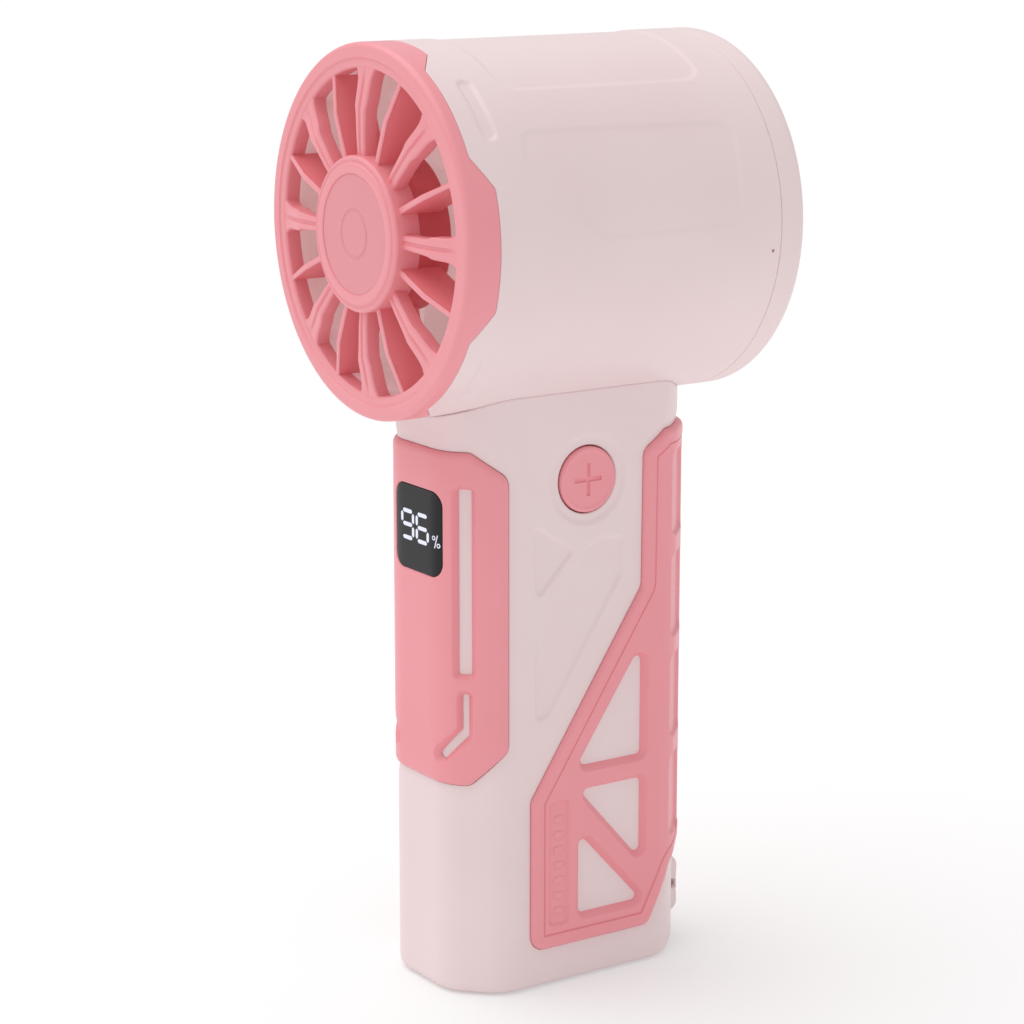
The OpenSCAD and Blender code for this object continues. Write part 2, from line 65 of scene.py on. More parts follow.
# ---------------------------------------------------------------- sizes from the frame
shell_lo, shell_hi = box_mm("handle_shell")
ring_lo, ring_hi = box_mm("rear_ring")
AXIS_Z = (ring_lo[2] + ring_hi[2]) / 2   # height of the barrel's axis
R = ring_hi[0]                           # radius of the barrel
REAR_S = -ring_hi[1]                     # rear end of the barrel
FRONT_S = -REAR_S                        # front end of the barrel
RING_S = FRONT_S - 2.7                   # rear edge of the front ring between its ears
EAR_S = FRONT_S - 6.45                   # rear edge of the ears
SEAM_S = -ring_lo[1]                     # seam between the barrel and its rear rim
HALF_W, GRIP_FRONT, GRIP_BACK = shell_hi[0], -shell_lo[1], shell_hi[1]
CUT, ROUND = 7.6, 8.0                    # the grip's cut corners, and the rounding at their ends
PROUD, SUNK = 0.5, 0.8                   # how far the coral trims stand out, and how deep they are let in
TRIM_FLOOR = -SUNK + 0.03                # underside of the trims, just clear of the grip
_, BUTTON_Y, BUTTON_Z = sum(box_mm("plus_button")) / 2
BUTTON_R = 5.95                          # radius of the buttons' caps
BODY = "fan_body"


# ---------------------------------------------------------------- flat shapes
def unit(v):
    return v / np.linalg.norm(v)


class Shape:
    """A closed outline. ring(d) is the outline moved inwards by d, depth(p) the distance inside it."""

    def depth(self, p):
        q = self.ring()
        best = np.full(len(p), 1e9)
        inside = np.zeros(len(p), bool)
        for s, e in zip(q, np.roll(q, -1, axis=0)):
            d = e - s
            w = p - s
            t = np.clip((w @ d) / max(d @ d, 1e-12), 0, 1)
            best = np.minimum(best, np.hypot(*(w - t[:, None] * d).T))
            if s[1] != e[1]:
                crosses = (s[1] > p[:, 1]) != (e[1] > p[:, 1])
                inside ^= crosses & (p[:, 0] < s[0] + (p[:, 1] - s[1]) * d[0] / d[1])
        return np.where(inside, best, -best)


class Polygon(Shape):
    """Straight sides with rounded corners, each corner (a, b, radius)."""

    def __init__(self, corners, steps=4):
        c = [np.array([*k, 0.0][:3], float) for k in corners]
        area = sum(p[0] * q[1] - p[1] * q[0] for p, q in zip(c, c[1:] + c[:1]))
        self.corners = c if area > 0 else c[::-1]
        self.steps = steps

    def inset(self, d):
        """Corners of the same outline with every side moved inwards by d."""
        n = len(self.corners)
        inner = []
        for i, p in enumerate(self.corners):
            u = unit(p[:2] - self.corners[i - 1][:2])
            v = unit(self.corners[(i + 1) % n][:2] - p[:2])
            m = np.array([u[1], -u[0]]) + np.array([v[1], -v[0]])
            turn = np.sign(u[0] * v[1] - u[1] * v[0])
            inner.append((p[:2] - m * 2 * d / (m @ m), p[2] - d * turn if p[2] > 0 else 0))
        return inner

    def ring(self, inset=0.0):
        corners = self.inset(inset)
        points = []
        for i, (p, r) in enumerate(corners):
            u = unit(corners[i - 1][0] - p)
            v = unit(corners[(i + 1) % len(corners)][0] - p)
            half = math.acos(np.clip(u @ v, -1, 1)) / 2
            if r < 0.05 or half > 1.55:
                points.append(p)
                continue
            mid = unit(u + v)
            centre = p + mid * r / math.sin(half)
            side = np.sign(u[0] * v[1] - u[1] * v[0])
            for k in range(-self.steps, self.steps + 1):
                a = -side * (math.pi / 2 - half) * k / self.steps
                points.append(centre - r * np.array([mid[0] * math.cos(a) - mid[1] * math.sin(a),
                                                     mid[0] * math.sin(a) + mid[1] * math.cos(a)]))
        return np.array(points)


class Circle(Shape):
    def __init__(self, a, b, radius, steps=72):
        self.centre, self.radius, self.steps = np.array([a, b], float), radius, steps

    def ring(self, inset=0.0):
        t = np.arange(self.steps) * 2 * math.pi / self.steps
        return self.centre + (self.radius - inset) * np.stack([np.cos(t), np.sin(t)], 1)

    def depth(self, p):
        return self.radius - np.hypot(*(p - self.centre).T)


def slab(a0, a1, b0, b1, r, steps=4):
    return Polygon([(a0, b0, r), (a1, b0, r), (a1, b1, r), (a0, b1, r)], steps)


class Relief:
    """A raised or sunk figure: how far the surface drops at each distance inside a shape."""

    def __init__(self, shape, *knots):
        self.shape = shape
        self.at = [k[0] for k in knots]
        self.drop = [k[1] for k in knots]

    def drops(self, p):
        return np.interp(self.shape.depth(p), self.at, self.drop)


def soft(shape, drop, width):
    """A recess with a soft S-shaped edge."""
    return Relief(shape, *[(width * k / 2, drop * (0.5 + 0.5 * math.sin(k * math.pi / 2)))
                           for k in (-1, -0.6, -0.2, 0.2, 0.6, 1)])


def slope(hole, width, drop):
    """A sloping wall round a hole."""
    return Relief(hole, (-width, 0), (-width * 0.82, drop * 0.07), (-width * 0.12, drop * 0.93), (0, drop))


def groove(shape, inset, width, drop):
    """A narrow line that runs along inside a shape's edge."""
    h = width / 2
    return Relief(shape, (inset - h, 0), (inset - h / 3, drop), (inset + h / 3, drop), (inset + h, 0))


# ---------------------------------------------------------------- surfaces
class Section:
    """The grip's outline from above, as a path along its length u from the middle of the front."""

    def __init__(self):
        corners = [(HALF_W - CUT, -GRIP_FRONT), (HALF_W, -GRIP_FRONT + CUT), (HALF_W, GRIP_BACK - CUT),
                   (HALF_W - CUT, GRIP_BACK)]
        reach = ROUND * math.tan(math.pi / 8)
        x, y, a = [0.0], [-GRIP_FRONT], [-math.pi / 2]
        for i, corner in enumerate(corners):
            a0 = -math.pi / 2 + i * math.pi / 4
            start = np.array(corner) - reach * np.array([-math.sin(a0), math.cos(a0)])
            centre = start - ROUND * np.array([math.cos(a0), math.sin(a0)])
            for k in range(33):
                th = a0 + math.pi / 4 * k / 32
                x.append(centre[0] + ROUND * math.cos(th))
                y.append(centre[1] + ROUND * math.sin(th))
                a.append(th)
        x.append(0.0)
        y.append(GRIP_BACK)
        a.append(math.pi / 2)
        self.x, self.y, self.a = map(np.array, (x, y, a))
        self.u = np.concatenate([[0], np.cumsum(np.hypot(np.diff(x), np.diff(y)))])
        self.half = self.u[-1]

    def at(self, u):
        v = np.mod(u, 2 * self.half)
        left = v > self.half
        v = np.where(left, 2 * self.half - v, v)
        side = np.where(left, -1.0, 1.0)
        a = np.interp(v, self.u, self.a)
        return side * np.interp(v, self.u, self.x), np.interp(v, self.u, self.y), side * np.cos(a), np.sin(a)

    def of_y(self, y):
        """Where a point of the right side is, given its y."""
        return float(np.interp(y, self.y[2:-2], self.u[2:-2]))

    def of_x(self, x):
        """Where a point of the front is, given its x."""
        return math.copysign(float(np.interp(abs(x), self.x[:35], self.u[:35])), x)


SEC = Section()
HALF = SEC.half


def wrap_grip(p, h):
    x, y, nx, ny = SEC.at(p[:, 0])
    return np.stack([x + nx * h, y + ny * h, p[:, 1]], 1)


def wrap_barrel(p, h):
    a = p[:, 0] / R
    return np.stack([(R + h) * np.cos(a), -p[:, 1], AXIS_Z + (R + h) * np.sin(a)], 1)


def wrap_side(side, x):
    """A flat plane facing sideways: a is y, b is z."""
    def wrap(p, h):
        return np.stack([side * (x + h), p[:, 0], p[:, 1]], 1)
    return wrap


def wrap_base(p, h):
    return np.stack([p[:, 0], p[:, 1], -h], 1)


# ---------------------------------------------------------------- mesh builders
def build(name, shape, body, material, *stands_for, smooth=35, weighted=True):
    """One piece from points in millimetres and faces. It rides on a body and stands for CAD nodes."""
    verts, faces = shape
    mesh = bpy.data.meshes.new(name)
    mesh.from_pydata((np.asarray(verts) * MM).tolist(), [], [list(f) for f in faces])
    bm = bmesh.new()
    bm.from_mesh(mesh)
    bmesh.ops.remove_doubles(bm, verts=bm.verts, dist=1e-6)
    bmesh.ops.recalc_face_normals(bm, faces=bm.faces)
    bm.to_mesh(mesh)
    bm.free()
    mesh.polygons.foreach_set("use_smooth", [True] * len(mesh.polygons))
    mesh.set_sharp_from_angle(angle=math.radians(smooth))
    obj = bpy.data.objects.new(name, mesh)
    bpy.context.scene.collection.objects.link(obj)
    obj.data.materials.append(material)
    if weighted:
        obj.modifiers.new("weighted", "WEIGHTED_NORMAL").keep_sharp = True
    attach(obj, body)
    if stands_for:
        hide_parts(*stands_for)
    return obj


def joined(*parts):
    """Several shapes as one."""
    verts, faces, base = [], [], 0
    for v, f in parts:
        verts.append(np.asarray(v, float))
        faces += [[i + base for i in x] for x in f]
        base += len(v)
    return np.concatenate(verts), faces


def split_long(ring, step):
    """Adds points so that no side of a ring is longer than step."""
    out = []
    for a, b in zip(ring, np.roll(ring, -1, axis=0)):
        n = max(1, math.ceil(np.linalg.norm(b - a) / step))
        out += [a + (b - a) * k / n for k in range(n)]
    return np.array(out)


def round_over(radius, steps=4):
    """Insets and drops of a quarter-round edge."""
    a = np.arange(steps + 1) * math.pi / 2 / steps
    return radius * (1 - np.cos(a)), radius * (1 - np.sin(a))


def triangulate(rings, points, step):
    """Triangles between rings and free points. Every ring stays a line of edges."""
    coords, edges = [], []
    for ring in rings:
        ring = split_long(ring, step)
        base, m = len(coords), len(ring)
        coords += [Vector(c) for c in ring]
        edges += [(base + i, base + (i + 1) % m) for i in range(m)]
    coords += [Vector(c) for c in points]
    out, _, tris, *_ = delaunay_2d_cdt(coords, edges, [], 0, 1e-5)
    return np.array([tuple(c) for c in out]), np.array([f for f in tris if len(f) == 3])


def side_walls(tris, p, seam):
    """Quads from the open edges of the upper layer to the lower one. None stand on the seam."""
    half_edges = {(f[i], f[(i + 1) % 3]): True for f in tris.tolist() for i in range(3)}
    walls = []
    for i, j in half_edges:
        if (j, i) in half_edges:
            continue
        if any(abs(p[i, 0] - c) < 1e-4 and abs(p[j, 0] - c) < 1e-4 for c in seam):
            continue
        walls.append((i, j, j + len(p), i + len(p)))
    return walls


def moulded(wrap, outline, top, floor, edge=0.5, holes=(), hole_edge=None, reliefs=(), grid=(2.0, 3.0),
            step=1.5, rows=(), seam=(), fade=None, fall=None):
    """A plate wrapped on a surface, with a rounded outline, holes and reliefs. The edge drops by fall
    over its width, and hole_edge is one rounding or one per hole. A plate that goes all the way round
    closes on itself at its two seam values, and fade is its outline drawn on past them."""
    fade = fade or outline
    ins, dro = round_over(edge)
    dro = dro * (fall / edge if fall else 1)
    edges = np.broadcast_to(edge if hole_edge is None else hole_edge, len(holes)).tolist()
    holes = list(zip(holes, edges))

    # lines that the triangles keep to
    rings = [outline.ring()] + [fade.ring(d) for d in ([*ins[1:], edge * 1.3] if edge else [])]
    rings += [h.ring(-d) for h, e in holes for d in ([*round_over(e)[0], e * 1.3] if e else [0])]
    rings += [r.shape.ring(d) for r in reliefs for d in r.at]

    # a grid of points between the lines
    lo, hi = outline.ring().min(0), outline.ring().max(0)
    n = np.maximum(np.ceil((hi - lo) / grid), 1).astype(int)
    a = np.linspace(lo[0], hi[0], n[0] + 1)
    b = np.concatenate([np.linspace(lo[1], hi[1], n[1] + 1)[1:-1], rows])
    pts = np.stack(np.meshgrid(a, b), -1).reshape(-1, 2)
    near = 0.2 * min(grid)
    ok = (fade.depth(pts) > edge + near) & (outline.depth(pts) > near)
    for h, e in holes:
        ok &= h.depth(pts) < -e - near
    for r in reliefs:
        d = r.shape.depth(pts)
        for k in r.at:
            ok &= np.abs(d - k) > near

    # triangles inside the outline and outside the holes
    p, t = triangulate(rings, pts[ok], step)
    mid = p[t].mean(1)
    e1, e2 = p[t[:, 1]] - p[t[:, 0]], p[t[:, 2]] - p[t[:, 0]]
    keep = (outline.depth(mid) > 0) & (np.abs(e1[:, 0] * e2[:, 1] - e1[:, 1] * e2[:, 0]) > 1e-9)
    for h, _ in holes:
        keep &= h.depth(mid) < 0
    used, t = np.unique(t[keep], return_inverse=True)
    p, t = p[used], t.reshape(-1, 3)

    # heights of the upper and the lower layer
    drop = np.interp(fade.depth(p), ins, dro) if edge else np.zeros(len(p))
    for h, e in holes:
        if e:
            drop = np.maximum(drop, np.interp(-h.depth(p), *round_over(e)))
    for r in reliefs:
        drop = drop + r.drops(p)
    over = top(p) if callable(top) else np.full(len(p), float(top))
    under = np.full(len(p), float(floor))
    verts = np.concatenate([wrap(p, over - drop), wrap(p, under)])
    return verts, t.tolist() + (t[:, ::-1] + len(p)).tolist() + side_walls(t, p, seam)


def columns(loops, closed=True):
    """Joins loops of equal length, each one a closed outline, into a tube."""
    loops = [np.asarray(loop, float) for loop in loops]
    n, m = len(loops), len(loops[0])
    faces = []
    for i in range(n if closed else n - 1):
        k = (i + 1) % n
        faces += [(i * m + j, i * m + (j + 1) % m, k * m + (j + 1) % m, k * m + j) for j in range(m)]
    if not closed:
        faces += [tuple(range(m)), tuple(range((n - 1) * m, n * m))]
    return np.concatenate(loops), faces


def on_axis(r, s, degrees):
    """Points at radius r, place s along the barrel, and an angle from +X towards +Z."""
    a = np.radians(degrees)
    r, s, a = np.broadcast_arrays(np.asarray(r, float), s, a)
    return np.stack([r * np.cos(a), -s, AXIS_Z + r * np.sin(a)], -1)


def revolve(profile, steps=144):
    """Turns (radius, s) points round the barrel's axis."""
    prof = np.array(profile, float)
    return columns([on_axis(prof[:, 0], prof[:, 1], 360 * k / steps) for k in range(steps)])


def arc(ca, cb, r, a0, a1, steps=5):
    """Points of an arc round (ca, cb), from a0 to a1 degrees."""
    return [(ca + r * math.cos(math.radians(a0 + (a1 - a0) * k / steps)),
             cb + r * math.sin(math.radians(a0 + (a1 - a0) * k / steps))) for k in range(steps + 1)]


def turned(shape, degrees):
    """A shape turned round the barrel's axis."""
    v, faces = shape
    a = math.radians(degrees)
    x, z = v[:, 0], v[:, 2] - AXIS_Z
    return np.stack([x * math.cos(a) - z * math.sin(a), v[:, 1],
                     AXIS_Z + x * math.sin(a) + z * math.cos(a)], 1), faces


# ---------------------------------------------------------------- materials
def srgb(r, g, b):
    c = np.array([r, g, b]) / 255
    return tuple(np.where(c <= 0.04045, c / 12.92, ((c + 0.055) / 1.055) ** 2.4)) + (1.0,)


SLOTS = {}


def plastic(slot, dark, light, rough=0.4, bump=0.05, coat=0.0, metal=0.0, shine=0.5, glow_and_painted_light=0.0):
    """Moulded plastic or metal: slow colour drift, fine grain and uneven gloss. glow_and_painted_light is a
    weak light of its own: real glow on the lit digits, painted light on the duct and the impeller."""
    m = bpy.data.materials.new("finish_" + slot)
    SLOTS[m.name] = slot
    m.use_nodes = True
    nt = m.node_tree
    b = nt.nodes["Principled BSDF"]
    co = nt.nodes.new("ShaderNodeTexCoord")
    drift = nt.nodes.new("ShaderNodeTexNoise")
    drift.inputs["Scale"].default_value = 28
    drift.inputs["Detail"].default_value = 3
    ramp = nt.nodes.new("ShaderNodeValToRGB")
    ramp.color_ramp.elements[0].position = 0.3
    ramp.color_ramp.elements[1].position = 0.7
    ramp.color_ramp.elements[0].color = dark
    ramp.color_ramp.elements[1].color = light
    fine = nt.nodes.new("ShaderNodeTexNoise")
    fine.inputs["Scale"].default_value = 900
    fine.inputs["Detail"].default_value = 4
    gloss = nt.nodes.new("ShaderNodeMapRange")
    gloss.inputs["To Min"].default_value = rough - 0.05
    gloss.inputs["To Max"].default_value = rough + 0.05
    relief = nt.nodes.new("ShaderNodeBump")
    relief.inputs["Strength"].default_value = bump
    relief.inputs["Distance"].default_value = 0.0001
    link = nt.links.new
    link(co.outputs["Object"], drift.inputs["Vector"])
    link(co.outputs["Object"], fine.inputs["Vector"])
    link(drift.outputs["Fac"], ramp.inputs["Fac"])
    link(ramp.outputs["Color"], b.inputs["Base Color"])
    link(fine.outputs["Fac"], gloss.inputs["Value"])
    link(gloss.outputs["Result"], b.inputs["Roughness"])
    link(fine.outputs["Fac"], relief.inputs["Height"])
    link(relief.outputs["Normal"], b.inputs["Normal"])
    b.inputs["Metallic"].default_value = metal
    b.inputs["Coat Weight"].default_value = coat
    b.inputs["Coat Roughness"].default_value = 0.08
    b.inputs["Specular IOR Level"].default_value = shine
    b.inputs["Emission Color"].default_value = light
    # emission: the digits' real glow, and painted light on the duct and the impeller
    b.inputs["Emission Strength"].default_value = glow_and_painted_light
    return m


PALE = plastic("pale_shell", srgb(235, 213, 214), srgb(239, 218, 218), rough=0.4)
CORAL = plastic("coral_trim", srgb(239, 150, 158), srgb(242, 155, 163), rough=0.38)
# narrow vanes: the coral darkened with painted shade, for their deep sides
PAINTED_SHADE_VANE = plastic("coral_trim", srgb(236, 128, 137), srgb(240, 134, 142), rough=0.5)
SHADED = plastic("coral_trim", srgb(208, 88, 96), srgb(213, 94, 101), rough=0.5)
# the duct's glow is painted light that lifts its shade inside the barrel
DUCT = plastic("duct_plastic", srgb(234, 214, 214), srgb(238, 219, 218), rough=0.45, glow_and_painted_light=0.16)
HUBDISC = plastic("coral_trim", srgb(229, 146, 154), srgb(232, 151, 159), rough=0.5)
# the impeller's glow is painted light that lifts its shade inside the duct
BLADE = plastic("impeller_plastic", srgb(232, 200, 200), srgb(236, 207, 206), rough=0.4, glow_and_painted_light=0.07)
LENS = plastic("black_lens", srgb(9, 8, 15), srgb(13, 12, 20), rough=0.16, bump=0.0, shine=0.3)
MOTOR = plastic("motor_metal", srgb(150, 150, 153), srgb(170, 170, 172), rough=0.35, metal=1.0)
STEEL = plastic("steel", srgb(176, 176, 178), srgb(196, 196, 198), rough=0.3, metal=1.0)
COPPER = plastic("copper", srgb(170, 96, 52), srgb(196, 118, 66), rough=0.35, metal=1.0)
MAGNET = plastic("magnet", srgb(60, 60, 64), srgb(76, 76, 80), rough=0.4, metal=0.8)
BRASS = plastic("brass", srgb(190, 158, 88), srgb(206, 176, 104), rough=0.3, metal=1.0)
WIRE = plastic("wire", srgb(150, 30, 30), srgb(168, 36, 36), rough=0.5)
BOARD = plastic("board", srgb(20, 84, 48), srgb(26, 98, 58), rough=0.35, coat=0.3)
BLACK = plastic("black_plastic", srgb(34, 34, 36), srgb(44, 44, 46), rough=0.5)
CELL = plastic("cell_wrap", srgb(46, 98, 150), srgb(54, 108, 162), rough=0.3, coat=0.3)
DIGIT = plastic("lit_digit", srgb(60, 62, 78), srgb(66, 68, 84), rough=0.5, bump=0.0, glow_and_painted_light=0.9)
DIGIT.node_tree.nodes["Principled BSDF"].inputs["Emission Color"].default_value = srgb(238, 241, 255)

MATERIALS = {SLOTS[m.name]: m for m in (PALE, CORAL, DUCT, BLADE, LENS, MOTOR, STEEL, COPPER, MAGNET, BRASS,
                                        WIRE, BOARD, BLACK, CELL, DIGIT)}
for row in frame["record"]["subparts"]:
    node = frame["nodes"][row["node"]]
    node.data.materials.clear()
    node.data.materials.append(MATERIALS[row["material_slot"]])


# ---------------------------------------------------------------- grip shapes, unrolled
U = SEC.of_y


def across(corners):
    """The same corners on the left side, by way of the rear."""
    return [(2 * HALF - a, b, r) for a, b, r in reversed(corners)]


def side(corners):
    """Corners given as y and z on the right side."""
    return Polygon([(U(y), z, r) for y, z, r in corners])


foot = [(U(-11.7), 7.4, 3), (U(14.4), 7.4, 2), (U(19.6), 18.6, 3), (U(25.2), 21.6, 3)]
crown = [(U(17.5), 100.9, 1.5), (U(12.6), 97.6, 2.4), (U(12.4), 72.6, 2.5), (U(-11.7), 36, 2.5)]
TRUSS = Polygon(foot + across(foot) + across(crown) + crown)
HOLE_INSET, HOLE_ROUND = 0.85, 0.9       # truss holes: how far inside their corners, and their radius
TRUSS_HOLES = [Polygon([(*p, HOLE_ROUND) for p, _ in side(corners).inset(HOLE_INSET)])
               for corners in ([(13.6, 64.2, 0), (13.6, 39.9, 0), (-2.9, 39.9, 0)],
                               [(-2.7, 37, 0), (13.6, 37, 0), (13.6, 18.4, 0)],
                               [(-1.7, 30.2, 0), (15, 11.8, 0), (-1.7, 11.8, 0)])]
panel_u = U(-16.3)
PANEL = Polygon([(-12.6, 39.75, 2.5), (12.6, 39.75, 2.5), (panel_u, 46.2, 2.5), (panel_u, 95.9, 3.2),
                 (12.8, 100.3, 2), (-12.8, 100.3, 2), (-panel_u, 95.9, 3.2), (-panel_u, 46.2, 2.5)])
WINDOW = slab(-6.75, 7.85, 77.4, 92.9, 2.7, 6)
LONG_SLOT = slab(10.55, 12.95, 60.2, 93.7, 0.4)
SHORT_SLOT = Polygon([(11.3, 56.6, 0.3), (12.45, 56.6, 0.4), (12.4, 48.9, 1), (7.3, 44.0, 0.7),
                      (6.2, 45.2, 0.7), (11.3, 50.1, 0.8)])


def moved(shape, by):
    """The same shape, further along the unrolled surface."""
    return Polygon([(a + by, b, r) for a, b, r in shape.corners], shape.steps)


def mirror_u(shape):
    """The same shape seen from the other side of the front's middle."""
    return Polygon([(-a, b, r) for a, b, r in shape.corners], shape.steps)


# ---------------------------------------------------------------- grip shell
def saddle(u):
    """Height of the grip's top edge, which fits round the barrel."""
    x = SEC.at(np.asarray(u, float))[0]
    return AXIS_Z - np.sqrt(R ** 2 - x ** 2) - 0.02


def shell_outline(reach, low):
    """The unrolled shell, from -reach to reach and from low up to the saddle."""
    u = np.arange(-70, 71) / 70 * HALF
    if reach > HALF:
        u = np.concatenate([[-HALF - 2], u, [HALF + 2]])
    u = u[np.abs(u) < reach - 0.5]
    u = np.concatenate([[-reach], u, [reach]])
    return Polygon([(-reach, low), (reach, low)] + [(k, float(saddle(k))) for k in u[::-1]])


BASE_ROUND = 2.0
LIP_Z, LIP_RISE, LIP_OUT = 103.2, 3, 0.35
LIP_HALF = SEC.of_x(12)


def shell_top(p):
    """The grip's base edge is rounded, and its neck turns out a little at the front, under the barrel."""
    z = np.clip(p[:, 1], 0, BASE_ROUND)
    h = -(BASE_ROUND - np.sqrt(BASE_ROUND ** 2 - (BASE_ROUND - z) ** 2))
    lip = np.clip((p[:, 1] - LIP_Z) / LIP_RISE, 0, 1)
    return h + LIP_OUT * lip * lip * np.where(np.abs(p[:, 0]) < LIP_HALF, 1, 0)


DISH = ((-2.6, 0), (-1.8, 0.06), (-0.9, 0.2), (-0.1, 0.26), (-0.03, SUNK))   # the bed of a coral trim
COVER = slab(HALF - 8, HALF + 8, 4, 30, 1)
right_side = [
    Relief(TRUSS, *DISH),
    Relief(COVER, (-0.1, 0), (-0.04, SUNK)),
    # the button's well, a triangle and a long figure
    soft(Circle(U(BUTTON_Y), BUTTON_Z, 7.9), 0.35, 1.4),
    soft(side([(-11.0, 86.6, 0.8), (-2.6, 81.3, 0.8), (-10.6, 72.9, 0.8)]), 0.42, 1.1),
    soft(side([(0.6, 81.6, 1), (3.2, 82.8, 1), (7.9, 82.2, 1), (7.6, 75.2, 2), (-8.0, 51.6, 1),
               (-10.5, 50.8, 0.8), (-10.8, 63.4, 2)]), 0.42, 1.1),
]
BUTTON_GAP = 0.22
BUTTON_HOLES = [Circle(k * U(BUTTON_Y), BUTTON_Z, BUTTON_R + BUTTON_GAP) for k in (1, -1)]


def both(relief, flip):
    """A relief of the right side, repeated on the left side."""
    shape = relief.shape
    if isinstance(shape, Circle):
        other = Circle(-shape.centre[0], shape.centre[1], shape.radius)
    else:
        other = flip(shape)
    return [relief, Relief(other, *zip(relief.at, relief.drop))]


reliefs = [Relief(PANEL, *DISH)]
for r in right_side:
    wraps = r.shape in (TRUSS, COVER)
    reliefs += both(r, (lambda s: moved(s, -2 * HALF)) if wraps else mirror_u)
base_rows = [0.08, 0.3, 0.65, 1.1, 1.6, 2.0, 2.8]   # heights that follow the rounded base edge
shell = moulded(wrap_grip, shell_outline(HALF, 0), shell_top, -2.2, edge=0.3, holes=BUTTON_HOLES,
                reliefs=reliefs, grid=(1.6, 3.2), rows=base_rows, seam=(-HALF, HALF),
                fade=shell_outline(HALF + 5, -5))
base_ring = wrap_grip(np.stack([np.linspace(-HALF, HALF, 160, endpoint=False), np.zeros(160)], 1),
                      np.full(160, -BASE_ROUND - 0.15))
socket_lo, socket_hi = box_mm("charging_socket")
PORT = slab(-4.6, 4.6, socket_lo[1] - 0.1, socket_hi[1] + 0.1, 1.6)
base = moulded(wrap_base, Polygon(base_ring[:, :2].tolist()), 0, -2.0, edge=0.0, holes=[PORT],
               hole_edge=0.4, grid=(3, 3))
build("grip_shell", joined(shell, base), BODY, PALE, "handle_shell")

# ---------------------------------------------------------------- grip frame with its trusses
def frame_top(p):
    """The frame stands out further on the spine than on the sides."""
    u = np.minimum(p[:, 0], 2 * HALF - p[:, 0])
    return np.interp(u, [U(13.5), U(20), HALF], [PROUD, 1.04, 1.0])


corner_u = (U(18.5) + U(25.5)) / 2       # middle of the grip's rear corner
frame_holes = TRUSS_HOLES + [Polygon(across(h.corners), h.steps) for h in TRUSS_HOLES]
frame_reliefs = [Relief(TRUSS, (2.45, 0), (2.6, 0.28), (2.75, 0.28), (2.9, 0.1))]
LABEL = slab(U(-7.9), U(-3.6), 11.6, 35.2, 0.9)
RIBS, RIB_Z, RIB_H, RIB_PITCH = 7, 13.6, 1.5, 2.9
ribs = [slab(U(-6.9), U(-4.6), RIB_Z + RIB_PITCH * i, RIB_Z + RIB_H + RIB_PITCH * i, 0.6) for i in range(RIBS)]
POCKETS, POCKET_Z, POCKET_H, POCKET_PITCH = 4, 23.6, 15.6, 19.1
for flip in (lambda s: s, lambda s: Polygon(across(s.corners), s.steps)):
    frame_reliefs += [slope(flip(h), 1.2, 1.2) for h in TRUSS_HOLES]
    frame_reliefs.append(Relief(flip(LABEL), (-0.1, 0), (0.3, 0.38)))
    frame_reliefs += [Relief(flip(k), (0, 0), (0.25, -0.18)) for k in ribs]
    for i in range(POCKETS):
        z = POCKET_Z + POCKET_PITCH * i
        pocket = slab(corner_u - 4.6, corner_u + 3.6, z, z + POCKET_H, 1.6)
        frame_reliefs.append(Relief(flip(pocket), (-0.3, 0), (-0.1, 0.14), (0.25, 0.62), (0.6, 0.76)))
SPINE = slab(HALF - 4.6, HALF + 4.6, 27, 96, 1.6)
frame_reliefs.append(groove(SPINE, 0.4, 0.7, 0.3))
trim = moulded(wrap_grip, TRUSS, frame_top, TRIM_FLOOR, edge=1.0, fall=0.76, holes=frame_holes,
               hole_edge=0, reliefs=frame_reliefs, grid=(1.6, 3))
build("grip_frame_trim", trim, BODY, CORAL, "grip_frame")

# ---------------------------------------------------------------- back cover with its strap bridge
def cover_bridge():
    """A block with rounded corners and a hole from side to side for a strap."""
    hole_y, hole_z, hole_r, end = GRIP_BACK + 1.2, 9.7, 0.9, 6
    inner_y, outer_y, low_z, high_z, corner_r = GRIP_BACK - 1, GRIP_BACK + 2.6, 4.2, 15.2, 1.7
    outline = Polygon([(inner_y, low_z), (outer_y, low_z, corner_r), (outer_y, high_z, corner_r),
                       (inner_y, high_z)]).ring()
    loops = []
    for y, z in split_long(outline, 0.8):
        far = math.hypot(y - hole_y, z - hole_z)
        half = [(end, hole_r + 0.3), (end, far - 0.6), (end - 0.2, far - 0.2), (end - 0.6, far)]
        ring = [(end - 0.3, hole_r), *half, *[(-x, r) for x, r in reversed(half)], (0.3 - end, hole_r)]
        loops.append([(x, hole_y + (y - hole_y) * r / far, hole_z + (z - hole_z) * r / far) for x, r in ring])
    return columns(loops)


cover_plate = slab(HALF - 7.9, HALF + 7.9, 4.1, 21.5, 0.9)
cover = moulded(wrap_grip, cover_plate, 0, -1.6, edge=0.35, grid=(1.5, 2),
                reliefs=[groove(cover_plate, 1.4, 0.4, 0.15)])
build("back_cover_plate", joined(cover, cover_bridge()), BODY, PALE, "back_cover")

# ---------------------------------------------------------------- front panel and display
slots = [LONG_SLOT, mirror_u(LONG_SLOT), SHORT_SLOT, mirror_u(SHORT_SLOT)]
panel = moulded(wrap_grip, PANEL, PROUD, TRIM_FLOOR, edge=1.2, fall=0.76, holes=[WINDOW, *slots],
                hole_edge=[0.25, 0, 0, 0, 0], reliefs=[slope(k, 1.05, 1.15) for k in slots], grid=(1.5, 3))
build("front_panel_trim", panel, BODY, CORAL, "front_panel")
LENS_SHAPE = slab(-6.7, 7.8, 77.45, 92.85, 2.65, 6)
lens = moulded(wrap_grip, LENS_SHAPE, PROUD - 0.12, -SUNK, edge=0.15, grid=(1.2, 2))
build("display_lens", lens, BODY, LENS, "display_window")


